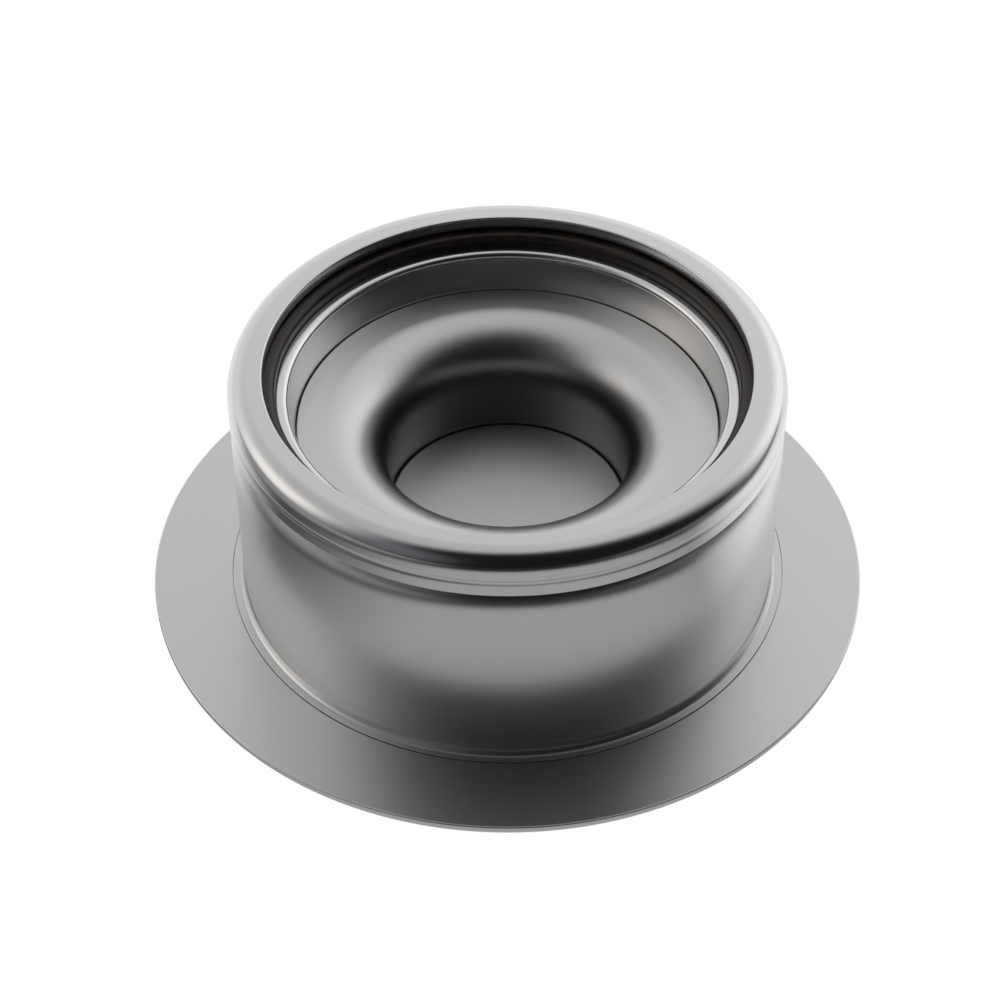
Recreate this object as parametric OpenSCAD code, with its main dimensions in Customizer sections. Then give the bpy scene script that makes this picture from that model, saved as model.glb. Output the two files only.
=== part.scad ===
// Sink flange with a lift-out stopper, standing on the finished face of its brim.
// The origin is the centre of that face, and +Z runs along the axis to the neck's open end.
// Every piece is a ring or a disc turned about Z, drawn as its section (radius, height).

/* [Brim] */
// Outside diameter of the brim
brim_d = 114.3; // [100:0.1:140]
// Thickness of the brim
brim_t = 1.8; // [1.6:0.1:3]
// Rounding of the brim's outer edge on its finished side
brim_round = 1.2; // [0.4:0.1:1.2]
// Rounding of the brim's inner edge on its finished side
throat_round = 1.2; // [0.4:0.1:1.2]
// Break on the brim's upper outer corner
brim_break = 0.25; // [0.1:0.05:0.4]
// Depth of the rebate that the neck's foot stands in
rebate_depth = 0.3; // [0.2:0.05:0.4]

/* [Neck] */
// Outside diameter of the neck, which drops through the sink's drain hole
neck_d = 85.4; // [80:0.1:88]
// Wall thickness of the neck tube
neck_wall = 1.5; // [1.2:0.1:2]
// Height of the neck tube above the brim
neck_h = 33.3; // [26:0.1:60]
// Radius of the flared foot where the tube lands on the brim
foot_r = 1.8; // [0.8:0.1:3]
// Height of the foot's edge above the brim
foot_edge = 0.12; // [0.1:0.01:0.4]
// How far the tube's other end is rolled in, which is the depth of the snap-ring groove
shoulder_in = 1.3; // [0.8:0.1:2]
// Height over which it is rolled in
shoulder_h = 4.1; // [3:0.1:7]
// Width of the flat end of the rolled-in shoulder
mouth_land = 1.7; // [1.2:0.1:2.4]

/* [Collar] */
// Height of the collar above the neck tube
collar_h = 7.25; // [6:0.05:12]
// Rounding of the collar's outer shoulder
collar_round = 3; // [1:0.1:3]
// Rounding of the collar's lower edge
collar_edge = 0.2; // [0.1:0.05:0.4]
// Height of the soft line above the collar's lower edge
line_up = 2.5; // [1.5:0.1:3]
// Width of the soft line
line_w = 1.2; // [0.6:0.1:1.6]
// Depth of the soft line
line_depth = 0.14; // [0.05:0.01:0.3]
// Length of the spigot that locates the collar in the tube
spigot_l = 5; // [3:0.1:8]
// Wall thickness of the spigot
spigot_wall = 1; // [0.8:0.1:1.5]
// How far the seat lip reaches in over the bore
lip_in = 1.4; // [0.8:0.1:2]
// Thickness of the seat lip
lip_t = 2.05; // [1.2:0.05:3]
// Break on the lip's two inner corners
lip_break = 0.3; // [0.1:0.05:0.5]

/* [Stopper seal] */
// Gap between the seal and the collar, round it and above it
seal_gap = 0.3; // [0.1:0.05:0.5]
// Radial width of the seal
seal_w = 2.9; // [2.2:0.1:3.4]
// Height of the seal
seal_h = 3.8; // [2.6:0.1:5]
// Rounding of the seal's inner top corner
seal_crown = 1.1; // [0.6:0.1:1.2]
// Rounding of the seal's outer corners
seal_round = 0.5; // [0.2:0.05:0.8]
// Radial width of the ring that holds the seal
retainer_w = 1.9; // [1.4:0.1:2.6]
// Height of that ring
retainer_h = 1; // [0.8:0.05:1.4]
// Rise of its rounded top above its straight sides
retainer_crown = 0.7; // [0.3:0.05:0.7]

/* [Stopper ring] */
// Radial gap between the shelf under the seal and the bore
shelf_gap = 0.5; // [0.3:0.05:1]
// Thickness of the shelf under the seal
shelf_t = 1.4; // [1:0.1:2]
// Height of the ring's top face above the shelf
shelf_step = 0.6; // [0.4:0.1:1.2]
// Height of the visible skirt wall above the dish
skirt_h = 5.5; // [4:0.1:8]
// How far the skirt wall leans in over its height
skirt_draft = 0.8; // [0.2:0.1:1.2]
// Wall thickness of the ring beside the dish
ring_wall = 1.3; // [1:0.1:1.8]
// Width of the ledge under the dish
ledge_w = 1.5; // [1:0.1:2.5]
// Thickness of the ledge
ledge_t = 1.2; // [0.8:0.1:2]

/* [Stopper dish] */
// Thickness of the pressed plate
dish_t = 1.2; // [0.8:0.1:1.6]
// Inside diameter of the central well
well_d = 37.6; // [30:0.1:42]
// Radius of the roll from the plate down into the well
well_roll = 9; // [5:0.1:10]
// Depth of the well below the plate
well_depth = 17.2; // [13:0.1:22]
// Rounding of the plate's outer top edge
dish_round = 0.3; // [0.1:0.05:0.5]

/* [Knob] */
// Thickness of the disc that closes the well
cap_t = 1.5; // [1:0.1:2.5]
// Rounding of the disc's top edge, which leaves a fine groove beside the well's wall
cap_round = 0.5; // [0.2:0.05:0.8]
// How far the knob's rim stands out past the well's wall
grip_out = 1.5; // [0.8:0.1:3]
// Thickness of the knob's rim
grip_t = 1.6; // [1.2:0.1:2.5]

/* [Fits] */
// Radial clearance where one piece is pressed or dropped into another
fit_gap = 0.02; // [0.01:0.01:0.05]
// Radial gap between the foot's edge and the rebate's wall
rebate_gap = 0.1; // [0.05:0.01:0.2]
// Radial gap between the dish's edge and the skirt wall
dish_gap = 0.1; // [0.05:0.01:0.2]

/* [Hidden] */
$fn = 180;

// Chords in each quarter turn of a rounded corner
arc_steps = 10;

// Radii, from the outside in
brim_r = brim_d / 2;
neck_r = neck_d / 2;
tube_bore_r = neck_r - neck_wall;
foot_tip_r = neck_r + foot_r;
rebate_r = foot_tip_r + rebate_gap;
mouth_out_r = neck_r - shoulder_in;
mouth_bore_r = mouth_out_r - mouth_land;
spigot_r = mouth_bore_r - fit_gap;
seal_bore_r = spigot_r - spigot_wall;
lip_r = seal_bore_r - lip_in;
seal_r = seal_bore_r - seal_gap;
shelf_r = seal_bore_r - shelf_gap;
ring_top_r = seal_r - seal_w;
skirt_top_r = ring_top_r - retainer_w;
skirt_low_r = skirt_top_r - skirt_draft;
dish_r = skirt_low_r - dish_gap;
ring_out_r = skirt_low_r + ring_wall;
well_r = well_d / 2;
roll_r = well_r + well_roll;
well_out_r = well_r + dish_t;
grip_r = well_out_r + grip_out;

// Heights, from the brim up to the rim
mouth_z = brim_t + neck_h;
tube_low_z = brim_t - rebate_depth;
foot_z = brim_t + foot_edge;
shoulder_z = mouth_z - shoulder_h;
rim_z = mouth_z + collar_h;
lip_z = rim_z - lip_t;

// Heights of the stopper, from its seal down to its knob
seal_z = lip_z - seal_gap;
shelf_z = seal_z - seal_h;
ring_top_z = shelf_z + shelf_step;
dish_z = ring_top_z - skirt_h;
ledge_z = dish_z - dish_t;
ring_low_z = ledge_z - ledge_t;
well_z = dish_z - well_depth;
cap_z = well_z - cap_t;
knob_z = cap_z - grip_t;

// Radius of an arc that starts along a line and has left it by "depth" after a length "run"
function roll_in_r(depth, run) = (depth * depth + run * run) / (2 * depth);

// Points of an arc about centre c, from angle a0 to angle a1
function arc(c, r, a0, a1) =
    let (steps = ceil(arc_steps * abs(a1 - a0) / 90))
    [for (i = [0 : steps]) let (a = a0 + (a1 - a0) * i / steps) c + r * [cos(a), sin(a)]];

// A ring or disc turned from its section
module turned(section) {
    rotate_extrude()
        polygon(section);
}

module brim_ring() {
    color([0.68, 0.68, 0.69])
        turned(concat(
            arc([tube_bore_r + throat_round, throat_round], throat_round, 180, 270),
            arc([brim_r - brim_round, brim_round], brim_round, 270, 360),
            arc([brim_r - brim_break, brim_t - brim_break], brim_break, 0, 90),
            [[rebate_r, brim_t], [rebate_r, tube_low_z], [tube_bore_r, tube_low_z]]
        ));
}

// The lead-in is the cone inside the tube, from its bore to the narrower mouth.
module neck_tube() {
    roll = roll_in_r(shoulder_in, shoulder_h);
    lead_in = tube_bore_r - mouth_bore_r;
    color([0.64, 0.64, 0.65])
        turned(concat(
            [[tube_bore_r, tube_low_z], [foot_tip_r, tube_low_z]],
            arc([foot_tip_r, foot_z + foot_r], foot_r, 270, 180),
            arc([neck_r - roll, shoulder_z], roll, 0, asin(shoulder_h / roll)),
            [[mouth_bore_r, mouth_z]],
            [[mouth_bore_r, shoulder_z]],
            [[tube_bore_r, shoulder_z - lead_in]]
        ));
}

// The soft line is an arc of the width and depth given, cut into the outside.
module neck_collar() {
    line_z = mouth_z + line_up;
    line_r = roll_in_r(line_depth, line_w / 2);
    line_a = asin(line_w / 2 / line_r);
    color([0.72, 0.72, 0.73])
        turned(concat(
            [[seal_bore_r, mouth_z - spigot_l], [spigot_r, mouth_z - spigot_l], [spigot_r, mouth_z]],
            arc([neck_r - collar_edge, mouth_z + collar_edge], collar_edge, 270, 360),
            arc([neck_r - line_depth + line_r, line_z], line_r, 180 + line_a, 180 - line_a),
            arc([neck_r - collar_round, rim_z - collar_round], collar_round, 0, 90),
            arc([lip_r + lip_break, rim_z - lip_break], lip_break, 90, 180),
            arc([lip_r + lip_break, lip_z + lip_break], lip_break, 180, 270),
            [[seal_bore_r, lip_z]]
        ));
}

module stopper_ring() {
    color([0.66, 0.65, 0.62])
        turned([
            [skirt_low_r - ledge_w, ring_low_z],
            [ring_out_r, ring_low_z],
            [ring_out_r, shelf_z - shelf_t - ring_wall],
            [ring_out_r + ring_wall, shelf_z - shelf_t],
            [shelf_r, shelf_z - shelf_t],
            [shelf_r, shelf_z],
            [ring_top_r, shelf_z],
            [ring_top_r, ring_top_z],
            [skirt_top_r, ring_top_z],
            [skirt_low_r, dish_z],
            [skirt_low_r, ledge_z],
            [skirt_low_r - ledge_w, ledge_z]
        ]);
}

module stopper_seal() {
    color([0.07, 0.06, 0.06])
        turned(concat(
            [[ring_top_r, shelf_z]],
            arc([seal_r - seal_round, shelf_z + seal_round], seal_round, 270, 360),
            arc([seal_r - seal_round, seal_z - seal_round], seal_round, 0, 90),
            arc([ring_top_r + seal_crown, seal_z - seal_crown], seal_crown, 90, 180)
        ));
}

module seal_retainer() {
    crown_r = roll_in_r(retainer_crown, retainer_w / 2);
    low = 90 - asin(retainer_w / 2 / crown_r);
    color([0.82, 0.82, 0.82])
        turned(concat(
            [[skirt_top_r, ring_top_z], [ring_top_r, ring_top_z]],
            arc([ring_top_r - retainer_w / 2, ring_top_z + retainer_h - crown_r], crown_r, low, 180 - low)
        ));
}

module stopper_dish() {
    roll_z = dish_z - well_roll;
    color([0.7, 0.7, 0.7])
        turned(concat(
            [[well_r, cap_z], [well_out_r, cap_z]],
            arc([roll_r, roll_z], well_roll - dish_t, 180, 90),
            [[dish_r, ledge_z]],
            arc([dish_r - dish_round, dish_z - dish_round], dish_round, 0, 90),
            arc([roll_r, roll_z], well_roll, 90, 180)
        ));
}

// The disc drops into the well's end, and its rim covers the end of the well's wall.
module knob_cap() {
    plug_r = well_r - fit_gap;
    grip_round = grip_t / 2;
    color([0.74, 0.74, 0.75])
        turned(concat(
            [[0, knob_z]],
            arc([grip_r - grip_round, knob_z + grip_round], grip_round, 270, 450),
            [[plug_r, cap_z]],
            arc([plug_r - cap_round, well_z - cap_round], cap_round, 0, 90),
            [[0, well_z]]
        ));
}

brim_ring();
neck_tube();
neck_collar();
stopper_ring();
stopper_seal();
seal_retainer();
stopper_dish();
knob_cap();
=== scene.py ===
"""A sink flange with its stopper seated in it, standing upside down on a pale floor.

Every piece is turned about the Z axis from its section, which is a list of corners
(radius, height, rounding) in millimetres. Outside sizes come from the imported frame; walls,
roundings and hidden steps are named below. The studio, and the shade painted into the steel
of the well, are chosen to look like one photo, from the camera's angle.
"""
import math

import bmesh
import bpy
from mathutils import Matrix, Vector


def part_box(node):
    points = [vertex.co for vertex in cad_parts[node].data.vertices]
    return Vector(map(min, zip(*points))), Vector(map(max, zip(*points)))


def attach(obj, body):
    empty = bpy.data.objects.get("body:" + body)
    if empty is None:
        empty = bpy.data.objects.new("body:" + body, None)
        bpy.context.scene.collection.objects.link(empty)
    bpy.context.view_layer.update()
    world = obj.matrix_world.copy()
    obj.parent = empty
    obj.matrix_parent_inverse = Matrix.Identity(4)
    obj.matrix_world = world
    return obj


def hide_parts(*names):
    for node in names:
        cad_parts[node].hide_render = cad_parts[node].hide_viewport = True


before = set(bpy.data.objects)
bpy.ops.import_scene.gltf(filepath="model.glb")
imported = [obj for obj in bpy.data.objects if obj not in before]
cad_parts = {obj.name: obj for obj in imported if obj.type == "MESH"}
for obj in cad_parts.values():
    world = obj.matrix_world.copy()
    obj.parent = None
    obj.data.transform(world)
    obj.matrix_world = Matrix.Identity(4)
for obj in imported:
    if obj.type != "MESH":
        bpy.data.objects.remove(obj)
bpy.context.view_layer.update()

MM = 0.001
SEGMENTS = 288          # round each piece
ARC_STEPS = 12          # in a quarter turn of a rounded corner
HOLD = 0.12             # mm from a rounding to the loop that keeps the flat beside it flat
SHARP_ANGLE = math.radians(40)

# Walls, steps and roundings, in mm
BRIM_ROUND = 1.2        # on the finished side
BRIM_BREAK = 0.25
REBATE_BREAK = 0.08
NECK_WALL = 1.5
SHOULDER_IN = 1.3
MOUTH_LAND = 1.7
SHOULDER_H = 4.1
SPIGOT_L = 5.0
SPIGOT_WALL = 1.0
LIP_IN = 1.4
LIP_T = 2.05
LIP_BREAK = 0.3
COLLAR_ROUND = 3.0
COLLAR_EDGE = 0.2
LINE_UP = 2.5
LINE_W = 1.2
LINE_DEPTH = 0.14
LINE_SIDE_ROUND = 2.0
LINE_FLOOR_ROUND = 1.3
REBATE_DEPTH = 0.3
REBATE_GAP = 0.1
FLARE_R = 1.8
FLARE_ANGLE = math.radians(48)
FOOT_EDGE = 0.12
FOOT_BREAK = 0.05
BORE_ROUND = 0.5
SEAL_W = 2.9
SEAL_ROUND = 0.5
SEAL_CROWN = 1.1
RETAINER_W = 1.9
RETAINER_BREAK = 0.2
RETAINER_ROUND = 0.95
SHELF_T = 1.4
SHELF_BREAK = 0.2
SHELF_TOP_BREAK = 0.1
STEP_ROUND = 0.6
SKIRT_TOP_BREAK = 0.1
RING_WALL = 1.3
LEDGE_W = 1.5
LEDGE_BREAK = 0.15
RING_FOOT_ROUND = 0.3
DISH_GAP = 0.1
DISH_T = 1.2
WELL_ROLL = 9.0
DISH_ROUND = 0.3
CAP_ROUND = 0.5
WELL_BREAK = 0.05
GRIP_OUT = 1.5
GRIP_ROUND = 0.79
FIT_GAP = 0.02


# ---------------------------------------------------------------- sections and turning

def radius_of(node):
    """A node's outside radius, in mm."""
    low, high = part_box(node)
    return max(high.x, high.y, -low.x, -low.y) / MM


def heights_of(node):
    """A node's lowest and highest points, in mm."""
    low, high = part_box(node)
    return low.z / MM, high.z / MM


def rounded(before, corner, after, rounding):
    """The arc that replaces a corner, tangent to both of its sides."""
    to_before = (before - corner).normalized()
    to_after = (after - corner).normalized()
    half = to_before.angle(to_after) / 2
    reach = rounding / math.tan(half)
    middle = (to_before + to_after).normalized()
    centre = corner + middle * (rounding / math.sin(half))
    start = corner + to_before * reach - centre
    sweep = (corner + to_after * reach - centre).angle_signed(start)
    steps = max(3, math.ceil(ARC_STEPS * abs(sweep) / (math.pi / 2)))
    points = []
    for i in range(steps + 1):
        a = sweep * i / steps
        turned = Vector((start.x * math.cos(a) - start.y * math.sin(a),
                         start.x * math.sin(a) + start.y * math.cos(a)))
        points.append(centre + turned)
    return points


def outline(corners):
    """A closed section's points, with its corners rounded and a loop held beside each rounding."""
    flat = [Vector(c[:2]) for c in corners]
    runs = []
    for i, corner in enumerate(corners):
        rounding = corner[2] if len(corner) > 2 else 0
        if rounding:
            runs.append(rounded(flat[i - 1], flat[i], flat[(i + 1) % len(flat)], rounding))
        else:
            runs.append([flat[i]])
    points = []
    for i, run in enumerate(runs):
        points += run
        start, end = run[-1], runs[(i + 1) % len(runs)][0]
        side = end - start
        if side.length > 4 * HOLD:
            step = side.normalized() * HOLD
            points += [start + step, end - step]
    return points


def turn(name, corners):
    """A mesh object turned about Z from a closed section."""
    points = outline(corners)
    mesh = bmesh.new()
    rings = []
    for p in points:
        if p.x < 1e-6:
            rings.append([mesh.verts.new((0, 0, p.y * MM))] * SEGMENTS)
            continue
        ring = []
        for i in range(SEGMENTS):
            a = 2 * math.pi * i / SEGMENTS
            ring.append(mesh.verts.new((p.x * MM * math.cos(a), p.x * MM * math.sin(a), p.y * MM)))
        rings.append(ring)
    for i, ring in enumerate(rings):
        other = rings[(i + 1) % len(rings)]
        if ring[0] is ring[1] and other[0] is other[1]:
            continue
        for j in range(SEGMENTS):
            k = (j + 1) % SEGMENTS
            face = []
            for v in (ring[j], ring[k], other[k], other[j]):
                if v not in face:
                    face.append(v)
            mesh.faces.new(face)
    bmesh.ops.recalc_face_normals(mesh, faces=mesh.faces)
    for face in mesh.faces:
        face.smooth = True
    for edge in mesh.edges:
        edge.smooth = edge.calc_face_angle(0) < SHARP_ANGLE
    data = bpy.data.meshes.new(name)
    mesh.to_mesh(data)
    mesh.free()
    piece = bpy.data.objects.new(name, data)
    bpy.context.scene.collection.objects.link(piece)
    return piece


# ---------------------------------------------------------------- the pieces' sections

brim_r = radius_of("brim_ring")
brim_t = heights_of("brim_ring")[1]
foot_tip_r = radius_of("neck_tube")
mouth_z = heights_of("neck_tube")[1]
neck_r = radius_of("neck_collar")
rim_z = heights_of("neck_collar")[1]
shelf_r = radius_of("stopper_ring")
ring_low_z, ring_top_z = heights_of("stopper_ring")
seal_r = radius_of("stopper_seal")
shelf_z, seal_z = heights_of("stopper_seal")
retainer_z = heights_of("seal_retainer")[1]
dish_r = radius_of("stopper_dish")
cap_z, dish_z = heights_of("stopper_dish")
grip_r = radius_of("knob_cap")
knob_z, well_z = heights_of("knob_cap")

tube_bore_r = neck_r - NECK_WALL
mouth_out_r = neck_r - SHOULDER_IN
mouth_bore_r = mouth_out_r - MOUTH_LAND
seal_bore_r = mouth_bore_r - FIT_GAP - SPIGOT_WALL
lip_r = seal_bore_r - LIP_IN
lip_z = rim_z - LIP_T
ring_top_r = seal_r - SEAL_W
skirt_top_r = ring_top_r - RETAINER_W
skirt_low_r = dish_r + DISH_GAP
ring_out_r = skirt_low_r + RING_WALL
ledge_z = dish_z - DISH_T
well_out_r = grip_r - GRIP_OUT
well_r = well_out_r - DISH_T


def brim_section():
    """The foot of the tube stands in a rebate in the brim's upper face."""
    low = brim_t - REBATE_DEPTH
    rebate_r = foot_tip_r + REBATE_GAP
    return [
        (tube_bore_r, 0, BRIM_ROUND),
        (brim_r, 0, BRIM_ROUND),
        (brim_r, brim_t, BRIM_BREAK),
        (rebate_r, brim_t, REBATE_BREAK),
        (rebate_r, low),
        (tube_bore_r, low),
    ]


def tube_section():
    """The foot's flare stops at FLARE_ANGLE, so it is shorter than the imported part's full fillet."""
    low = brim_t - REBATE_DEPTH
    foot_z = brim_t + FOOT_EDGE
    shoulder_z = mouth_z - SHOULDER_H
    depth = neck_r - mouth_out_r
    roll = (depth ** 2 + SHOULDER_H ** 2) / (2 * depth)
    turn_a = math.asin(SHOULDER_H / roll)
    shoulder = []
    for i in range(1, ARC_STEPS + 1):
        a = turn_a * i / ARC_STEPS
        shoulder.append((neck_r - roll + roll * math.cos(a), shoulder_z + roll * math.sin(a)))
    flare = []
    for i in range(ARC_STEPS + 1):
        a = FLARE_ANGLE * (1 - i / ARC_STEPS)
        rise = FLARE_R * (math.sin(FLARE_ANGLE) - math.sin(a))
        flare.append((neck_r + FLARE_R * (1 - math.cos(a)), foot_z + rise))
    return [
        (tube_bore_r, low),
        (foot_tip_r, low),
        (foot_tip_r, foot_z, FOOT_BREAK),
        *flare,
        (neck_r, shoulder_z),
        *shoulder,
        (mouth_bore_r, mouth_z),
        (mouth_bore_r, shoulder_z, BORE_ROUND),
        (tube_bore_r, shoulder_z - (tube_bore_r - mouth_bore_r), BORE_ROUND),
    ]


def collar_section():
    """A spigot inside the tube, a soft line round the outside and a lip that the seal seats under."""
    line_z = mouth_z + LINE_UP
    spigot_r = mouth_bore_r - FIT_GAP
    return [
        (seal_bore_r, mouth_z - SPIGOT_L, COLLAR_EDGE),
        (spigot_r, mouth_z - SPIGOT_L, COLLAR_EDGE),
        (spigot_r, mouth_z),
        (neck_r, mouth_z, COLLAR_EDGE),
        (neck_r, line_z - LINE_W / 2, LINE_SIDE_ROUND),
        (neck_r - LINE_DEPTH, line_z, LINE_FLOOR_ROUND),
        (neck_r, line_z + LINE_W / 2, LINE_SIDE_ROUND),
        (neck_r, rim_z, COLLAR_ROUND),
        (lip_r, rim_z, LIP_BREAK),
        (lip_r, lip_z, LIP_BREAK),
        (seal_bore_r, lip_z),
    ]


def ring_section():
    """A shelf under the seal, a skirt wall that narrows downwards and a ledge under the dish."""
    low = shelf_z - SHELF_T
    return [
        (skirt_low_r - LEDGE_W, ring_low_z, LEDGE_BREAK),
        (ring_out_r, ring_low_z, RING_FOOT_ROUND),
        (ring_out_r, low - RING_WALL, STEP_ROUND),
        (ring_out_r + RING_WALL, low, STEP_ROUND),
        (shelf_r, low, SHELF_BREAK),
        (shelf_r, shelf_z, SHELF_TOP_BREAK),
        (ring_top_r, shelf_z),
        (ring_top_r, ring_top_z),
        (skirt_top_r, ring_top_z, SKIRT_TOP_BREAK),
        (skirt_low_r, dish_z),
        (skirt_low_r, ledge_z),
        (skirt_low_r - LEDGE_W, ledge_z),
    ]


def seal_section():
    """Rounded most at its top, beside the retainer."""
    return [
        (ring_top_r, shelf_z),
        (seal_r, shelf_z, SEAL_ROUND),
        (seal_r, seal_z, SEAL_ROUND),
        (ring_top_r, seal_z, SEAL_CROWN),
    ]


def retainer_section():
    """Flat beside the seal, and rounded towards the well."""
    return [
        (skirt_top_r, ring_top_z),
        (ring_top_r, ring_top_z),
        (ring_top_r, retainer_z, RETAINER_BREAK),
        (skirt_top_r, retainer_z, RETAINER_ROUND),
    ]


def dish_section():
    """A flat plate that rolls down into the well's wall."""
    return [
        (well_r, cap_z, WELL_BREAK),
        (well_out_r, cap_z),
        (well_out_r, ledge_z, WELL_ROLL - DISH_T),
        (dish_r, ledge_z),
        (dish_r, dish_z, DISH_ROUND),
        (well_r, dish_z, WELL_ROLL),
    ]


def cap_section():
    """A plug that closes the well, with the knob's wider rim under it."""
    plug_r = well_r - FIT_GAP
    return [
        (0, knob_z),
        (grip_r, knob_z, GRIP_ROUND),
        (grip_r, cap_z, GRIP_ROUND),
        (plug_r, cap_z),
        (plug_r, well_z, CAP_ROUND),
        (0, well_z),
    ]


# ---------------------------------------------------------------- node helpers

class Nodes:
    """Short calls that add nodes to one tree and hand back their output sockets."""

    def __init__(self, tree):
        self.tree = tree

    def add(self, kind, **settings):
        node = self.tree.nodes.new(kind)
        for key, value in settings.items():
            setattr(node, key, value)
        return node

    def put(self, socket, value):
        if isinstance(value, bpy.types.NodeSocket):
            self.tree.links.new(value, socket)
        else:
            socket.default_value = value

    def math(self, operation, *values):
        node = self.add("ShaderNodeMath", operation=operation)
        for socket, value in zip(node.inputs, values):
            self.put(socket, value)
        return node.outputs[0]

    def vector(self, operation, *values, output="Vector"):
        node = self.add("ShaderNodeVectorMath", operation=operation)
        for socket, value in zip(node.inputs, values):
            self.put(socket, value)
        return node.outputs[output]

    def smooth(self, value, start, end, low=0.0, high=1.0):
        """value carried smoothly from low at start to high at end."""
        node = self.add("ShaderNodeMapRange", interpolation_type="SMOOTHSTEP")
        for name, v in zip(("Value", "From Min", "From Max", "To Min", "To Max"),
                           (value, start, end, low, high)):
            self.put(node.inputs[name], v)
        return node.outputs[0]

    def noise(self, vector, scale, detail=2.0, w=None):
        node = self.add("ShaderNodeTexNoise", noise_dimensions="4D" if w is not None else "3D")
        self.put(node.inputs["Vector"], vector)
        self.put(node.inputs["Scale"], scale)
        self.put(node.inputs["Detail"], detail)
        if w is not None:
            self.put(node.inputs["W"], w)
        return node.outputs["Fac"]

    def blend(self, factor, one, other):
        """The colour one where factor is 0, and the colour other where it is 1."""
        node = self.add("ShaderNodeMix", data_type="RGBA")
        self.put(node.inputs[0], factor)
        for socket, colour in ((node.inputs[6], one), (node.inputs[7], other)):
            self.put(socket, (*colour, 1) if isinstance(colour, tuple) else colour)
        return node.outputs[2]


def new_material(name):
    material = bpy.data.materials.new(name)
    material.use_nodes = True
    return material, Nodes(material.node_tree), material.node_tree.nodes["Principled BSDF"]


def cylinder(nodes, place):
    """The distance of a place from the axis, and its height."""
    across = nodes.vector("MULTIPLY", place, (1, 1, 0))
    up = nodes.add("ShaderNodeSeparateXYZ")
    nodes.put(up.inputs[0], place)
    return nodes.vector("LENGTH", across, output="Value"), up.outputs["Z"]


def ring_marks(nodes, place, per_mm, wander):
    """Noise that runs round the axis in fine rings, as a lathe or a polishing wheel leaves it."""
    round_axis = nodes.vector("NORMALIZE", nodes.vector("MULTIPLY", place, (1, 1, 0)))
    out, up = cylinder(nodes, place)
    travel = nodes.math("MULTIPLY_ADD", up, 0.7, out)
    return nodes.noise(round_axis, wander, 3.0, nodes.math("MULTIPLY", travel, per_mm / MM))


# ---------------------------------------------------------------- materials

RINGS_PER_MM = 2.2
RINGS_WANDER = 1.2
GRAIN_SCALE = 5200
CLOUD_SCALE = 55
CLOUD_TINT = 0.97       # of the colour, where the clouds are darkest
CLOUD_SHINE = 0.06      # of roughness, from the clouds
RINGS_SHINE = 0.10      # of roughness, from the rings
METAL_RELIEF = 0.004    # mm
RUBBER_RELIEF = 0.02    # mm


def metal(name, colour, roughness, marks, coarse=None, painted_well_shade=None):
    """Satin steel: a blasted grain, faint rings from finishing and cloudy handling marks.

    coarse = (measure, start, end, roughness): the roughness goes to this value towards start.
    drawn = (start, end, share): below start, in mm, the steel darkens to this share at end. It
    stands in for the light that the well loses, and isn't a colour of the real steel.
    """
    material, nodes, shader = new_material(name)
    place = nodes.add("ShaderNodeTexCoord").outputs["Object"]
    out, up = cylinder(nodes, place)
    rings = ring_marks(nodes, place, RINGS_PER_MM, RINGS_WANDER)
    grain = nodes.noise(place, GRAIN_SCALE)
    cloud = nodes.noise(place, CLOUD_SCALE, 4.0)
    tint = nodes.blend(cloud, tuple(c * CLOUD_TINT for c in colour), colour)
    # Painted shade: below start the steel's colour darkens towards share at end, standing in for the
    # light the well loses.
    if painted_well_shade:
        start, end, share = painted_well_shade
        dark = nodes.smooth(up, end * MM, start * MM)
        tint = nodes.blend(dark, tuple(c * share for c in colour), tint)
    nodes.put(shader.inputs["Base Color"], tint)
    shader.inputs["Metallic"].default_value = 1
    shine = roughness
    if coarse:
        measure, start, end, value = coarse
        shine = nodes.smooth({"out": out, "up": up}[measure], start * MM, end * MM, value, roughness)
    shine = nodes.math("MULTIPLY_ADD", nodes.math("SUBTRACT", cloud, 0.5), CLOUD_SHINE, shine)
    shine = nodes.math("MULTIPLY_ADD", nodes.math("SUBTRACT", rings, 0.5), RINGS_SHINE * marks, shine)
    nodes.put(shader.inputs["Roughness"], shine)
    bump = nodes.add("ShaderNodeBump")
    bump.inputs["Strength"].default_value = 0.10
    bump.inputs["Distance"].default_value = METAL_RELIEF * MM
    relief = nodes.math("MULTIPLY_ADD", rings, marks, grain)
    nodes.put(bump.inputs["Height"], relief)
    nodes.put(shader.inputs["Normal"], bump.outputs[0])
    return material


def rubber(name):
    """Near-black rubber with a brown cast, a moulded grain and a few pale specks of dust."""
    material, nodes, shader = new_material(name)
    place = nodes.add("ShaderNodeTexCoord").outputs["Object"]
    mottle = nodes.noise(place, 260, 4.0)
    grain = nodes.noise(place, 3600, 3.0)
    cells = nodes.add("ShaderNodeTexVoronoi")
    nodes.put(cells.inputs["Vector"], place)
    nodes.put(cells.inputs["Scale"], 620)
    speck = nodes.smooth(cells.outputs["Distance"], 0.10, 0.17, 1.0, 0.0)
    few = nodes.smooth(nodes.noise(place, 420), 0.60, 0.66)
    dust = nodes.math("MULTIPLY", nodes.math("MULTIPLY", speck, few), 0.5)
    body = nodes.blend(nodes.smooth(mottle, 0.35, 0.7), (0.013, 0.010, 0.009), (0.034, 0.021, 0.016))
    nodes.put(shader.inputs["Base Color"], nodes.blend(dust, body, (0.20, 0.17, 0.15)))
    shader.inputs["Metallic"].default_value = 0
    nodes.put(shader.inputs["Roughness"], nodes.smooth(mottle, 0.2, 0.8, 0.30, 0.46))
    bump = nodes.add("ShaderNodeBump")
    bump.inputs["Strength"].default_value = 0.25
    bump.inputs["Distance"].default_value = RUBBER_RELIEF * MM
    nodes.put(bump.inputs["Height"], grain)
    nodes.put(shader.inputs["Normal"], bump.outputs[0])
    return material


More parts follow.
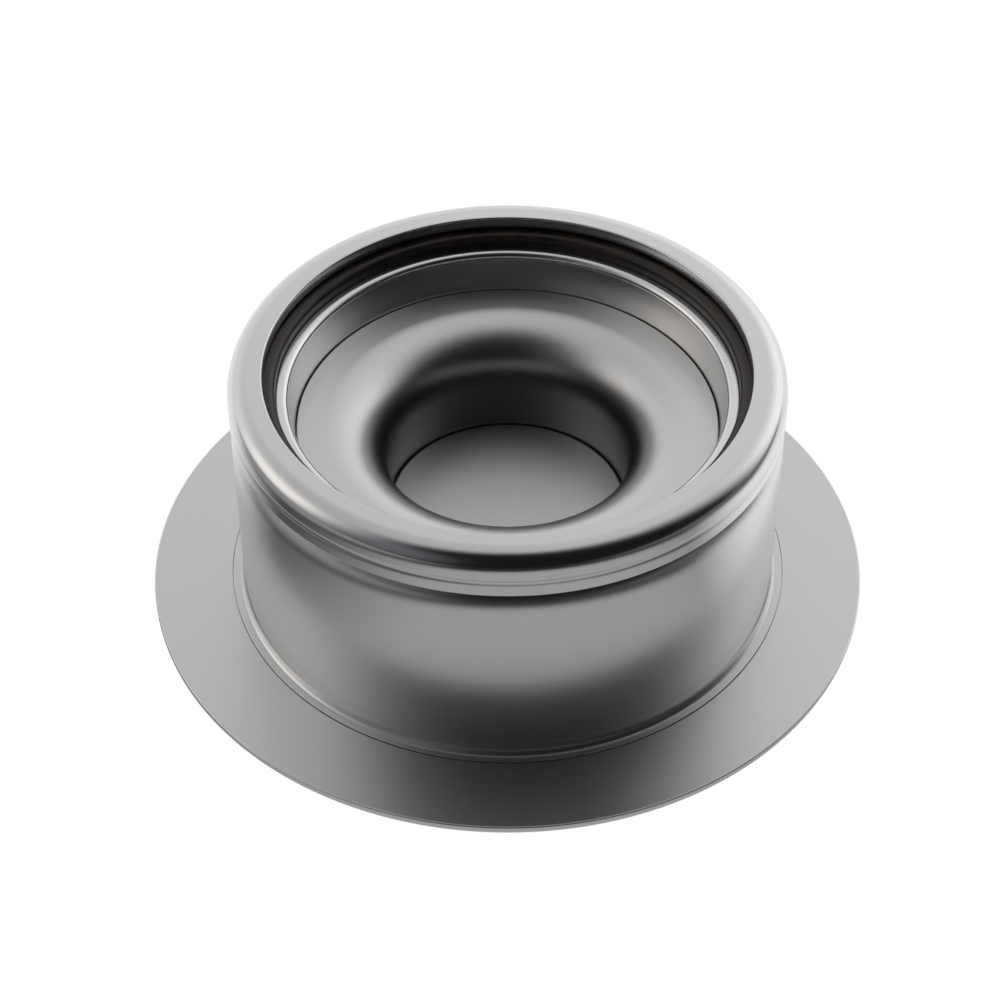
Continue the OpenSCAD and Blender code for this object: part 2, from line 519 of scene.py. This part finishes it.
def make_materials():
    steel = (0.75, 0.75, 0.75)
    pressed = (0.74, 0.74, 0.75)
    warm = (0.74, 0.725, 0.70)
    bright = (0.84, 0.84, 0.84)
    return {
        "satin_steel": metal("satin_steel", steel, 0.25, 0.25, coarse=("up", 2, 5, 0.32)),
        "turned_steel": metal("turned_steel", steel, 0.20, 0.3, coarse=("out", 20, 30, 0.44)),
        # The dish's steel also carries painted shade, darker lower down in its well.
        "pressed_steel": metal("pressed_steel", pressed, 0.34, 0.15, painted_well_shade=(30.2, 26.5, 0.36)),
        "warm_steel": metal("warm_steel", warm, 0.30, 0.3),
        "bright_steel": metal("bright_steel", bright, 0.24, 0.3),
        "seal_rubber": rubber("seal_rubber"),
    }


# ---------------------------------------------------------------- the object

PIECES = [
    ("brim_ring", brim_section, "flange", "satin_steel"),
    ("neck_tube", tube_section, "flange", "satin_steel"),
    ("neck_collar", collar_section, "flange", "turned_steel"),
    ("stopper_ring", ring_section, "stopper", "warm_steel"),
    ("stopper_seal", seal_section, "stopper", "seal_rubber"),
    ("seal_retainer", retainer_section, "stopper", "bright_steel"),
    ("stopper_dish", dish_section, "stopper", "pressed_steel"),
    ("knob_cap", cap_section, "stopper", "turned_steel"),
]


def make_pieces():
    materials = make_materials()
    for node, section, body, slot in PIECES:
        piece = turn(node + "_fine", section())
        piece.data.materials.append(materials[slot])
        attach(piece, body)
        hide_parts(node)


# ---------------------------------------------------------------- the studio

LENS = 89.8             # mm
SENSOR = 36             # mm
SHIFT_X = -0.0076
CAMERA_PLACE = (0, -0.2920, 0.2847)
CAMERA_DOWN = 42.81     # degrees below level
WHITE = (1.0, 1.0, 1.0)
COOL = (0.92, 0.97, 1.04)
WARM = (1.0, 0.84, 0.66)
FLOOR_SIZE = 3


def make_camera():
    data = bpy.data.cameras.new("camera")
    data.lens = LENS
    data.sensor_width = SENSOR
    data.shift_x = SHIFT_X
    camera = bpy.data.objects.new("camera", data)
    camera.location = CAMERA_PLACE
    camera.rotation_euler = (math.radians(90 - CAMERA_DOWN), 0, 0)
    bpy.context.scene.collection.objects.link(camera)
    bpy.context.scene.camera = camera


def towards(azimuth, elevation):
    """The direction of a light: azimuth 0 is behind the object and 90 is on its right, in degrees."""
    a, e = math.radians(azimuth), math.radians(elevation)
    return (math.sin(a) * math.cos(e), math.cos(a) * math.cos(e), math.sin(e))


def glow(nodes, direction, azimuth, elevation, inner, outer, strength):
    """A soft light round one direction: full within inner degrees, gone past outer degrees."""
    facing = nodes.vector("DOT_PRODUCT", direction, towards(azimuth, elevation), output="Value")
    ends = math.cos(math.radians(outer)), math.cos(math.radians(inner))
    return nodes.smooth(facing, *ends, 0.0, strength)


def tinted(nodes, colour, strength):
    """A colour multiplied by a strength that varies over the sky."""
    scaled = nodes.vector("SCALE", colour)
    nodes.put(scaled.node.inputs["Scale"], strength)
    return scaled


def lit_wall(nodes, direction, height):
    """A tall wall behind the object, brighter on its right, with two dark flags cut out of it."""
    wall = glow(nodes, direction, azimuth=-14, elevation=15, inner=66, outer=110, strength=1.0)
    front = glow(nodes, direction, azimuth=138, elevation=-4, inner=34, outer=56, strength=1.0)
    above = glow(nodes, direction, azimuth=178, elevation=35, inner=28, outer=56, strength=1.0)
    for flag in (front, above):
        wall = nodes.math("MULTIPLY", wall, nodes.math("SUBTRACT", 1.0, flag))
    wall = nodes.math("MULTIPLY", wall, nodes.smooth(height, 0.35, 0.85, 0.80, 0.50))
    patch = glow(nodes, direction, azimuth=52, elevation=12, inner=4, outer=42, strength=0.14)
    broad = glow(nodes, direction, azimuth=62, elevation=30, inner=10, outer=75, strength=0.28)
    return nodes.math("MULTIPLY", wall, nodes.math("ADD", nodes.math("ADD", patch, broad), 1.0))


def make_light():
    """A pale studio as the steel sees it. The camera sees a plain white backdrop."""
    world = bpy.data.worlds.new("studio")
    world.use_nodes = True
    nodes = Nodes(world.node_tree)
    direction = nodes.add("ShaderNodeTexCoord").outputs["Generated"]
    parts = nodes.add("ShaderNodeSeparateXYZ")
    nodes.put(parts.inputs[0], direction)
    height = nodes.math("ABSOLUTE", parts.outputs["Z"])

    wall = lit_wall(nodes, direction, height)
    side = glow(nodes, direction, azimuth=-124, elevation=18, inner=8, outer=42, strength=0.14)
    fill = nodes.math("ADD", side, 0.009)
    lamp = glow(nodes, direction, azimuth=-84, elevation=20, inner=4, outer=26, strength=0.34)
    colour = nodes.vector("ADD", tinted(nodes, WHITE, wall), tinted(nodes, COOL, fill))
    colour = nodes.vector("ADD", colour, tinted(nodes, WARM, lamp))
    seen = nodes.add("ShaderNodeLightPath").outputs["Is Camera Ray"]
    backdrop = nodes.blend(seen, colour, WHITE)
    nodes.put(world.node_tree.nodes["Background"].inputs["Color"], backdrop)

    scene = bpy.context.scene
    scene.world = world
    scene.view_settings.view_transform = "Standard"
    # The photo shows steel reflecting steel only about once.
    scene.cycles.max_bounces = 1


def floor_light(nodes, position):
    """What the steel reflects of the floor: lit behind, dark in front but for a pool near the foot."""
    place = nodes.add("ShaderNodeSeparateXYZ")
    nodes.put(place.inputs[0], position)
    x, y = place.outputs["X"], place.outputs["Y"]

    slanted = nodes.math("MULTIPLY_ADD", x, 0.27, y)
    behind = nodes.smooth(slanted, -0.045, 0.02, 0.0, 0.92)
    right_edge = nodes.math("MULTIPLY_ADD", nodes.math("MAXIMUM", y, 0.0), 1.2, 0.13)
    past_right = nodes.math("SUBTRACT", x, right_edge)
    behind = nodes.math("MULTIPLY", behind, nodes.smooth(past_right, -0.06, 0.05, 1.0, 0.12))
    left_edge = nodes.math("MULTIPLY_ADD", y, 1.4, 0.12)
    inside_left = nodes.math("ADD", x, left_edge)
    behind = nodes.math("MULTIPLY", behind, nodes.smooth(inside_left, -0.06, 0.05, 0.0, 1.0))

    from_pool = nodes.vector("SUBTRACT", position, (0.01, -0.055, 0))
    far = nodes.vector("LENGTH", nodes.vector("MULTIPLY", from_pool, (1.25, 1, 1)), output="Value")
    pool = nodes.smooth(far, 0.045, 0.125, 0.41, 0.012)

    left = nodes.smooth(x, -0.14, -0.05, 0.28, 0.0)
    right = nodes.smooth(x, 0.07, 0.20, 0.0, 0.125)
    sides = nodes.math("MULTIPLY", nodes.math("ADD", left, right), nodes.smooth(y, -0.45, -0.20))

    brightest = nodes.math("MAXIMUM", behind, nodes.math("MAXIMUM", pool, sides))
    return nodes.math("ADD", brightest, 0.008)


def floor_material():
    """Seen straight on the floor is plain white, and the steel reflects floor_light.

    From below the floor is clear, so that the lifted stopper and the brim's face can be looked at.
    """
    material = bpy.data.materials.new("floor")
    material.use_nodes = True
    nodes = Nodes(material.node_tree)
    material.node_tree.nodes.remove(material.node_tree.nodes["Principled BSDF"])
    geometry = nodes.add("ShaderNodeNewGeometry")
    light = floor_light(nodes, geometry.outputs["Position"])
    seen = nodes.add("ShaderNodeLightPath").outputs["Is Camera Ray"]
    emission = nodes.add("ShaderNodeEmission")
    nodes.put(emission.inputs["Strength"], nodes.smooth(seen, 0.0, 1.0, light, 1.0))
    clear = nodes.add("ShaderNodeBsdfTransparent")
    surface = nodes.add("ShaderNodeMixShader")
    nodes.put(surface.inputs[0], geometry.outputs["Backfacing"])
    nodes.put(surface.inputs[1], emission.outputs[0])
    nodes.put(surface.inputs[2], clear.outputs[0])
    nodes.put(material.node_tree.nodes["Material Output"].inputs["Surface"], surface.outputs[0])
    return material


def make_floor():
    mesh = bmesh.new()
    bmesh.ops.create_grid(mesh, x_segments=1, y_segments=1, size=FLOOR_SIZE)
    data = bpy.data.meshes.new("floor")
    mesh.to_mesh(data)
    mesh.free()
    floor = bpy.data.objects.new("floor", data)
    bpy.context.scene.collection.objects.link(floor)
    floor.data.materials.append(floor_material())


make_camera()
make_pieces()
make_floor()
make_light()
